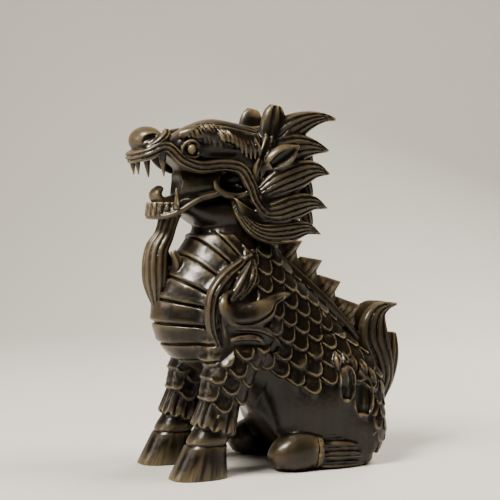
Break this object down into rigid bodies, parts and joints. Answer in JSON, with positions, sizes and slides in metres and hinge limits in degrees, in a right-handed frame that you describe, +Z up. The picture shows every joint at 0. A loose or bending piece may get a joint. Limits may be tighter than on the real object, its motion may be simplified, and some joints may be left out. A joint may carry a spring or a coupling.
{
  "type": "qilin figure",
  "caption": "Carved wooden qilin sitting on its haunches, mouth open, with a flame-shaped mane, scaled flanks and a finned back.",
  "frame": {"origin": "on the ground under the middle of the figure's bounding box", "axes": "+Z up; the figure faces -Y; its own left side is +X"},
  "size_m": [0.06, 0.1262, 0.1499],
  "materials": {
    "dark_wood": "near-black brown hardwood, hand carved and waxed to a satin polish"
  },
  "bodies": {
    "root": {"qilin_figure": "dark_wood"}
  },
  "joints": []
}
